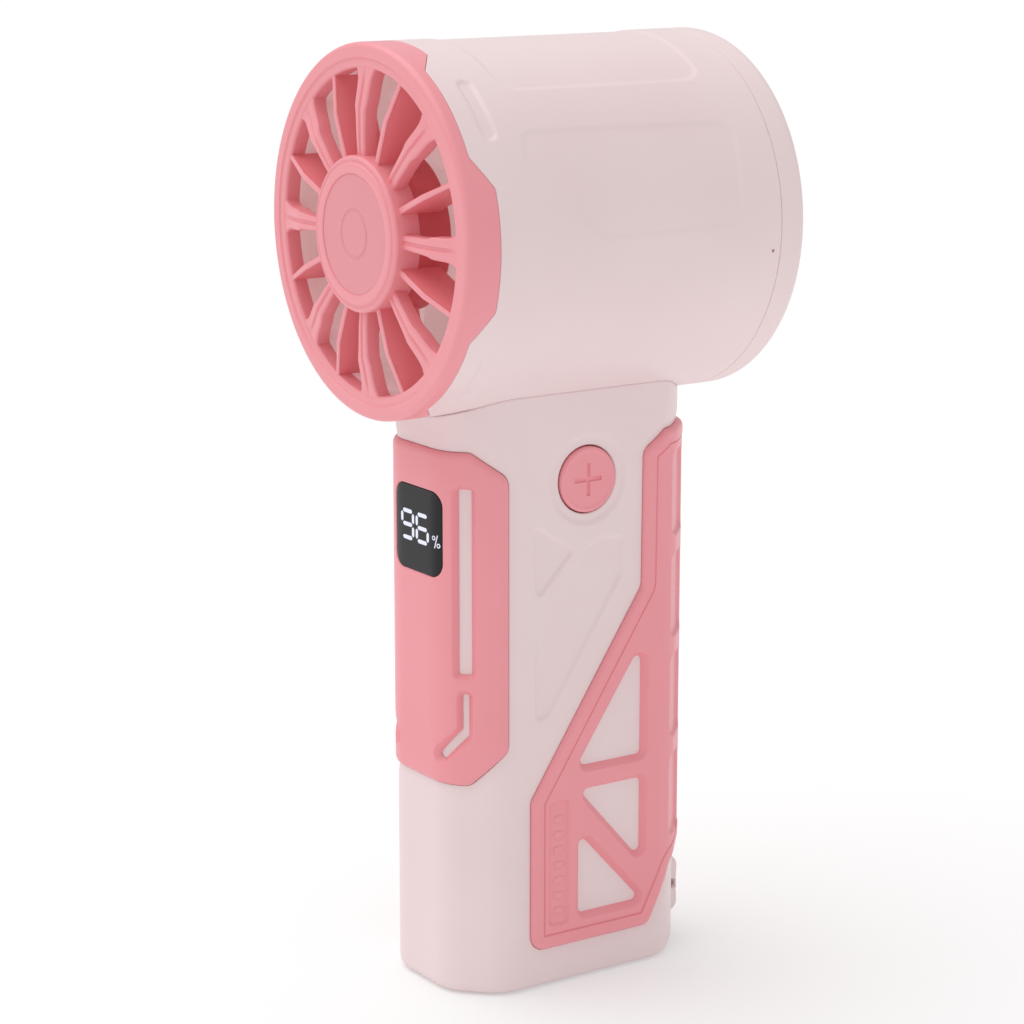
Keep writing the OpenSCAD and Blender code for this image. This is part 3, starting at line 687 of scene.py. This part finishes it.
def numeral(a, b, lit, w=3.6, h=2.42, t=0.36, gap=0.24):
    """Seven bars with pointed ends: top, upper right, lower right, foot, lower left, upper left, middle."""
    ends = [((0, 2 * h), (w, 2 * h)), ((w, h), (w, 2 * h)), ((w, 0), (w, h)), ((0, 0), (w, 0)),
            ((0, 0), (0, h)), ((0, h), (0, 2 * h)), ((0, h), (w, h))]
    bars = []
    for on, (p, q) in zip(lit, ends):
        if not on:
            continue
        p, q = np.array(p, float), np.array(q, float)
        d = unit(q - p)
        n = np.array([-d[1], d[0]])
        p, q = p + d * gap, q - d * gap
        pts = [p, p + (d - n) * t, q - (d + n) * t, q, q - (d - n) * t, p + (d + n) * t]
        bars.append(Polygon([(a + k[0], b + k[1], 0.12) for k in pts], 2))
    return bars


def lit_mark(shape, **kw):
    """A thin plate that lies on the display lens."""
    return moulded(wrap_grip, shape, PROUD - 0.09, PROUD - 0.3, edge=0.0, grid=(1, 1), **kw)


DIGIT_Z = 83.05
marks = [lit_mark(k) for k in numeral(-4.48, DIGIT_Z, (1, 1, 1, 1, 0, 1, 1))]
marks += [lit_mark(k) for k in numeral(0.38, DIGIT_Z, (1, 0, 1, 1, 1, 1, 1))]
marks += [lit_mark(Circle(a, b, 0.42, 24), hole_edge=0.0, holes=[Circle(a, b, 0.24, 20)])
          for a, b in ((5.78, 84.55), (6.95, 83.3))]
marks.append(lit_mark(Polygon([(5.9, 82.75), (6.1, 82.75), (6.85, 85.15), (6.65, 85.15)])))
build("display_numerals", joined(*marks), BODY, DIGIT, "display_digits", weighted=False)

# ---------------------------------------------------------------- buttons
DISH_R, COLLAR_R, STEM_R = 5.1, 7.4, 2


def sign_shape(cross, long=2.9, t=0.36):
    """A plus sign, or a minus sign where cross is false."""
    quarter = [(long, -t), (long, t), (t, t)] if cross else [(long, -t), (long, t)]
    corners = []
    for k in range(4 if cross else 2):
        turn = k * (math.pi / 2 if cross else math.pi)
        c, d = math.cos(turn), math.sin(turn)
        corners += [(BUTTON_Y + a * c - b * d, BUTTON_Z + a * d + b * c) for a, b in quarter]
    return Polygon(corners)


def key(side_x, cross):
    """A cap with an engraved sign, its stop collar and its stem."""
    wrap = wrap_side(side_x, HALF_W)
    dish = soft(Circle(BUTTON_Y, BUTTON_Z, DISH_R), 0.12, 0.8)
    engraved = Relief(sign_shape(cross), (-0.06, 0), (0.14, 0.34))
    cap = moulded(wrap, Circle(BUTTON_Y, BUTTON_Z, BUTTON_R, 96), 0.18, -3.5, edge=0.55,
                  reliefs=[dish, engraved], grid=(1.2, 1.2), step=0.6)
    collar = moulded(wrap, Circle(BUTTON_Y, BUTTON_Z, COLLAR_R), -2.6, -3.6, edge=0.2)
    stem = moulded(wrap, Circle(BUTTON_Y, BUTTON_Z, STEM_R, 32), -3.4, -4.6, edge=0.2)
    return joined(cap, collar, stem)


build("plus_key_cap", key(1, True), "plus_key", CORAL, "plus_button")
build("minus_key_cap", key(-1, False), "minus_key", CORAL, "minus_button")

# ---------------------------------------------------------------- barrel housing
QUARTER = R * math.pi / 2
EAR_TOP, EAR_FOOT = (R * math.asin(half_width / R) for half_width in (10.2, 15.4))
SPLIT = 0.05                             # gap between the housing and the front ring


def collar_edge(centres, grow, r=1.3):
    """The parting line between the housing and the front ring, from left to right."""
    line = []
    for c in centres:
        line += [(c - EAR_FOOT - grow, RING_S - grow, r), (c - EAR_TOP - grow, EAR_S - grow, r),
                 (c + EAR_TOP + grow, EAR_S - grow, r), (c + EAR_FOOT + grow, RING_S - grow, r)]
    return line


def housing_outline(reach, low):
    """The unrolled housing, drawn on past its seam by reach."""
    centres = [QUARTER * k for k in range(-1, 4)]
    first, last = -QUARTER - reach, 3 * QUARTER + reach
    line = [c for c in collar_edge(centres, SPLIT) if first < c[0] < last]
    return Polygon([(first, low), (last, low), (last, EAR_S - SPLIT)] + line[::-1] + [(first, EAR_S - SPLIT)])


def at_angle(degrees):
    """Place along the barrel's circumference."""
    return R * math.radians(degrees)


HOUSE_REAR = SEAM_S + 0.06
PILL_HALF = 6.3
pills = [slab(at_angle(c) - PILL_HALF, at_angle(c) + PILL_HALF, 26.15, 28.85, 1.33)
         for c in (44.7, 135.3, 224.5, -44.5)]
top_panel = slab(at_angle(51), at_angle(129), -21, 21, 4)
side_corners = [(35.2, 21.2, 2), (25.5, 22.1, 3), (19.2, 21.0, 3), (11.7, 14.5, 6), (1.1, 8.2, 4),
                (2.1, -20.5, 3), (34, -22.4, 3)]
side_panels = [Polygon([(at_angle(a), s, r) for a, s, r in side_corners]),
               Polygon([(at_angle(180 - a), s, r) for a, s, r in side_corners])]
house_reliefs = [soft(k, 0.45, 1.1) for k in pills]
house_reliefs += [soft(k, 0.25, 1.4) for k in (top_panel, *side_panels)]
pinhole = Circle(at_angle(-7.3), -28.0, 0.32, 20)
house_reliefs.append(Relief(pinhole, (0, 0), (0.05, 0.8)))
housing = moulded(wrap_barrel, housing_outline(0, HOUSE_REAR), 0, -1.6, edge=0.16, reliefs=house_reliefs,
                  grid=(1.5, 2.5), seam=(-QUARTER, 3 * QUARTER), fade=housing_outline(5, HOUSE_REAR))
build("barrel_shell", housing, BODY, PALE, "barrel_housing")

RIM_ROUND, SEAM_ROUND = 2.3, 0.16
rim = [(28.5, SEAM_S), *arc(R - SEAM_ROUND, SEAM_S - SEAM_ROUND, SEAM_ROUND, 90, 0, 3),
       *arc(R - RIM_ROUND, REAR_S + RIM_ROUND, RIM_ROUND, 0, -90, 8),
       (29.2, REAR_S), *arc(28.9, REAR_S + 0.4, 0.4, 270, 180, 3)]
build("rear_rim", revolve(rim), BODY, PALE, "rear_ring")

# ---------------------------------------------------------------- front grille
parting = Polygon([(-QUARTER / 2, RING_S), *collar_edge([0], 0), (QUARTER / 2, RING_S),
                   (QUARTER / 2, FRONT_S + 9), (-QUARTER / 2, FRONT_S + 9)], 6).ring()
parting = parting[parting[:, 1] < FRONT_S + 1]
parting = parting[np.argsort(parting[:, 0])]
ts = np.unique(np.round(np.concatenate([parting[:, 0], np.linspace(-QUARTER / 2, QUARTER / 2, 44)]), 3))[:-1]
OUT_R, BORE = 28.1, 3.2
loops = []
for q in range(4):
    for t in ts:
        low = float(np.interp(t, parting[:, 0], parting[:, 1]))
        ring = [(R - 1.5, low), *arc(R - SEAM_ROUND, low + SEAM_ROUND, SEAM_ROUND, -90, 0, 3),
                *arc(R - 1.15, FRONT_S - 1.15, 1.15, 0, 90, 6), (29.95, FRONT_S), (29.7, FRONT_S - 0.28),
                *arc(OUT_R + 0.6, FRONT_S - 0.88, 0.6, 90, 180, 5), (OUT_R, FRONT_S - BORE),
                (29.6, FRONT_S - BORE), (29.6, RING_S + 0.4), (R - 1.5, RING_S + 0.4)]
        loops.append(on_axis(*np.array(ring).T, math.degrees((q * QUARTER + t) / R)))
grille = [columns(loops)]
HUB, SKIRT, DUCT_S = 13.5, FRONT_S - 2.7, FRONT_S - 8.7   # hub radius, where its skirt darkened with painted shade starts, and where that skirt ends
HUB_BORE = 11.9
hub = [(10.35, FRONT_S + 0.4), (10.35, FRONT_S + 2.1), (10.45, FRONT_S + 2.26), (10.65, FRONT_S + 2.35),
       (11.85, FRONT_S + 2.35), (12.1, FRONT_S + 2.28), (12.3, FRONT_S + 2.05), (12.55, FRONT_S + 1.98),
       (12.7, FRONT_S + 2.03), *arc(HUB - 0.7, FRONT_S + 1.42, 0.7, 88, 5, 6), (HUB + 0.05, SKIRT),
       (HUB_BORE, SKIRT), (11.7, FRONT_S + 0.4)]
grille.append(revolve(hub))
APART = 0.02                             # parts of other colours end this far short of each other
# the skirt's dark coral is painted shade
skirt = revolve([(HUB + 0.05, SKIRT - APART), (HUB + 0.3, DUCT_S), (HUB_BORE, DUCT_S),
                 (HUB_BORE, SKIRT - APART)])
build("hub_skirt", skirt, BODY, SHADED)
sleeve_s, core_s = FRONT_S - 10.4, FRONT_S - 11
sleeve = revolve([(OUT_R + 0.03, FRONT_S - BORE - APART), (OUT_R + 0.03, sleeve_s),
                  (29.5, sleeve_s), (29.5, FRONT_S - BORE - APART)])
core = revolve([(HUB - 0.3, DUCT_S - APART), (HUB - 0.3, core_s), (HUB_BORE, core_s),
                (HUB_BORE, DUCT_S - APART)])
# the sleeve and the core glow with the duct's painted light
build("outlet_sleeve", joined(sleeve, core), BODY, DUCT)


def face(r):
    """Where the spokes' faces are at each radius: raised over the inner part, then falling to the ring."""
    radii, raised = [14, 14.6, 21.6, 22.6, OUT_R + 0.2], [0.75, 0.87, 0.87, 0.62, -0.45]
    return FRONT_S + float(np.interp(r, radii, raised))


def spoke(widths, edge, cut, deep):
    """A radial bar: widths gives its half width at each radius, cut is the depth of its centre groove."""
    loops = []
    for r, w in widths:
        f, b = face(r), face(r) - deep
        e = min(edge, w * 0.7)
        c = cut * float(np.interp(r, [13.4, 14.4, 26, 28], [0.3, 1, 1, 0.2]))
        g = min(0.42, (w - e) * 0.9)
        right = [(w - 0.1, b), (w, b + 0.3), *arc(w - e, f - e, e, 0, 90, 4), (g, f), (g * 0.45, f - c)]
        loop = right + [(-x, s) for x, s in reversed(right)]
        loops.append([(r, -s, AXIS_Z + x) for x, s in loop])
    return columns(loops, closed=False)


# (radius, half width) of the two kinds of spoke
WIDE = [(12.4, 1.25), (14, 1.25), (16, 1.3), (18, 1.38), (20, 1.48), (21.2, 1.58), (22, 1.85), (23, 1.95),
        (25, 2.0), (26.4, 2.15), (27.4, 2.5), (28.0, 2.95), (28.9, 3.4)]
NARROW = [(12.4, 0.62), (16, 0.58), (20, 0.56), (21.6, 0.55), (22.4, 0.55), (25, 0.5), (28.0, 0.5), (28.9, 0.5)]
PAIRS, VANE_S = 8, FRONT_S - 7
vane = columns([[(r, -s, AXIS_Z + x) for x, s in ((w, face(r) - 0.45), (-w, face(r) - 0.45), (-w, VANE_S),
                                                  (w, VANE_S))] for r, w in NARROW], closed=False)
vanes = []
for i in range(PAIRS):
    wide_at = 360 / PAIRS * i
    narrow_at = wide_at + 180 / PAIRS
    grille.append(turned(spoke(WIDE, 0.5, 0.34, 2.7), wide_at))
    grille.append(turned(spoke(NARROW, 0.32, 0.0, 0.5), narrow_at))
    vanes.append(turned(vane, narrow_at))
build("front_ring_and_spokes", joined(*grille), BODY, CORAL, "front_grille", smooth=32)
# the narrow vanes' deeper coral is painted shade
build("narrow_vanes", joined(*vanes), BODY, PAINTED_SHADE_VANE)

# hub disc with a plain ring engraved on its face, and a plug behind it
DISC_S, RING_FLOOR, MIDDLE = FRONT_S + 2.16, FRONT_S + 2.0, 0.001
disc = [(MIDDLE, DISC_S), (3.75, DISC_S), (3.95, RING_FLOOR), (4.3, RING_FLOOR), (4.5, DISC_S), (10.05, DISC_S),
        (10.38, FRONT_S + 2.08), (10.4, FRONT_S + 1.0), (5, FRONT_S + 0.9), (5, FRONT_S - 1.6),
        (MIDDLE, FRONT_S - 1.6)]
build("hub_disc", revolve(disc), BODY, HUBDISC, "hub_cap")

# ---------------------------------------------------------------- intake grille at the rear
def bead(r, w, s0, s1, e=0.4):
    """Section of a bar or ring, with its rear edges rounded."""
    return [(r - w, s1), *arc(r - w + e, s0 + e, e, 180, 270, 3), *arc(r + w - e, s0 + e, e, 270, 360, 3),
            (r + w, s1)]


BARS = 12
intake = [revolve(bead(r, 0.65, REAR_S + 0.2, REAR_S + 2.2)) for r in (12, 16.5, 21, 25)]
intake.append(revolve(bead(27.55, 0.85, REAR_S + 0.4, REAR_S + 6)))
intake.append(revolve([(MIDDLE, REAR_S - 2.4), (5.6, REAR_S - 2.4), *arc(6.0, REAR_S - 1.4, 1.0, 270, 340, 5),
                       (7.9, REAR_S + 0.3), (8.0, REAR_S + 3), (MIDDLE, REAR_S + 3)]))
bar_section = bead(0, 0.62, REAR_S + 0.25, REAR_S + 2.8, 0.35)
for i in range(BARS):
    bar = [[(r, -s, AXIS_Z + x) for x, s in bar_section] for r in (7.4, 12, 18, 24, 27.2)]
    intake.append(turned(columns(bar, closed=False), 360 / BARS * i))
build("rear_intake", joined(*intake), BODY, CORAL, "intake_grille")

# ---------------------------------------------------------------- impeller
IMP_FRONT, IMP_REAR, SHAFT_R = -2.5, -19.8, 1.52
BLADES, ROOT_R, TIP_R = 11, 7.5, 27.1
RAKE, TWIST = 28, 22                     # degrees at the root, and more of them at the tip
SPANS, CHORDS = 8, 12


def blade():
    """Sections with a curved back and a thin rear edge, from the root to the tip."""
    loops = []
    for k in range(SPANS + 1):
        r = ROOT_R + (TIP_R - ROOT_R) * k / SPANS
        rake = math.radians(RAKE + TWIST * k / SPANS)
        lo_s = max(IMP_REAR + 0.6, IMP_REAR + (r - ROOT_R) * 0.18)
        hi_s = IMP_FRONT - 0.7 - 0.1 * k
        rows = [], []
        for j in range(CHORDS + 1):
            f = 0.5 - 0.5 * math.cos(math.pi * j / CHORDS)
            s = lo_s + (hi_s - lo_s) * f
            t = -(s - (lo_s + hi_s) / 2) * math.tan(rake) + 1.7 * 4 * f * (1 - f)
            half = 0.12 + 0.95 * math.sqrt(f) * (1 - f) * (1.25 - 0.5 * k / SPANS)
            for row, sign in zip(rows, (1, -1)):
                angle = math.degrees((t + sign * half * math.cos(rake)) / r)
                row.append(on_axis(r, s + sign * half * math.sin(rake), angle))
        loops.append(np.array(rows[0] + rows[1][::-1]))
    return columns(loops, closed=False)


cone = [(SHAFT_R, IMP_REAR), (6.2, IMP_REAR), *arc(6.0, IMP_REAR + 0.9, 0.9, 270, 345, 4),
        (12.4, IMP_FRONT - 0.4), (12.3, IMP_FRONT), (11.6, IMP_FRONT), (5.2, IMP_REAR + 4.6),
        (3.4, IMP_REAR + 4.6), (3.4, IMP_FRONT - 1.2), (SHAFT_R, IMP_FRONT - 1.2)]
first_blade = blade()
wheel = [revolve(cone, 96)] + [turned(first_blade, 360 * i / BLADES) for i in range(BLADES)]
build("impeller_wheel", joined(*wheel), "rotor", BLADE, "impeller", smooth=45)

# ---------------------------------------------------------------- floor, light and camera
# from here on lengths are in metres
WHITE = (1, 1, 1, 1)
FLOOR_HALF, FLOOR_SHADE, FLOOR_GLOW = 14.0, 0.71, 0.25
WORLD_LIGHT, SUN_LIGHT, SUN_ANGLE, SUN_FROM = 0.65, 1.5, 70, Vector((-0.3, -0.3, 1))
LENS_MM, CAMERA_PLACE, LOOKS_DOWN, TURNED = 103.94, (0.43282, -0.29536, 0.20524), 12.941, 56.168

floor_mesh = bpy.data.meshes.new("floor")
floor_corners = [(x * FLOOR_HALF, y * FLOOR_HALF, 0) for x, y in ((-1, -1), (1, -1), (1, 1), (-1, 1))]
floor_mesh.from_pydata(floor_corners, [], [(0, 1, 2, 3)])
floor = bpy.data.objects.new("floor", floor_mesh)
bpy.context.scene.collection.objects.link(floor)
paper = bpy.data.materials.new("floor_paper")
paper.use_nodes = True
shader = paper.node_tree.nodes["Principled BSDF"].inputs
shader["Base Color"].default_value = (FLOOR_SHADE, FLOOR_SHADE, FLOOR_SHADE, 1)
shader["Roughness"].default_value = 1.0
shader["Specular IOR Level"].default_value = 0.0
shader["Emission Color"].default_value = WHITE
shader["Emission Strength"].default_value = FLOOR_GLOW
floor.data.materials.append(paper)

world = bpy.data.worlds.new("studio")
world.use_nodes = True
world.node_tree.nodes["Background"].inputs["Color"].default_value = WHITE
world.node_tree.nodes["Background"].inputs["Strength"].default_value = WORLD_LIGHT
bpy.context.scene.world = world
bpy.context.scene.view_settings.view_transform = "Standard"
sun = bpy.data.lights.new("softbox", "SUN")
sun.energy = SUN_LIGHT
sun.angle = math.radians(SUN_ANGLE)
lamp = bpy.data.objects.new("softbox", sun)
lamp.rotation_euler = (-SUN_FROM).to_track_quat("-Z", "Y").to_euler()
bpy.context.scene.collection.objects.link(lamp)

lens_data = bpy.data.cameras.new("photo_view")
lens_data.lens = LENS_MM
lens_data.clip_start = 0.01
camera = bpy.data.objects.new("photo_view", lens_data)
camera.location = CAMERA_PLACE
camera.rotation_euler = (math.radians(90 - LOOKS_DOWN), 0, math.radians(TURNED))
bpy.context.scene.collection.objects.link(camera)
bpy.context.scene.camera = camera
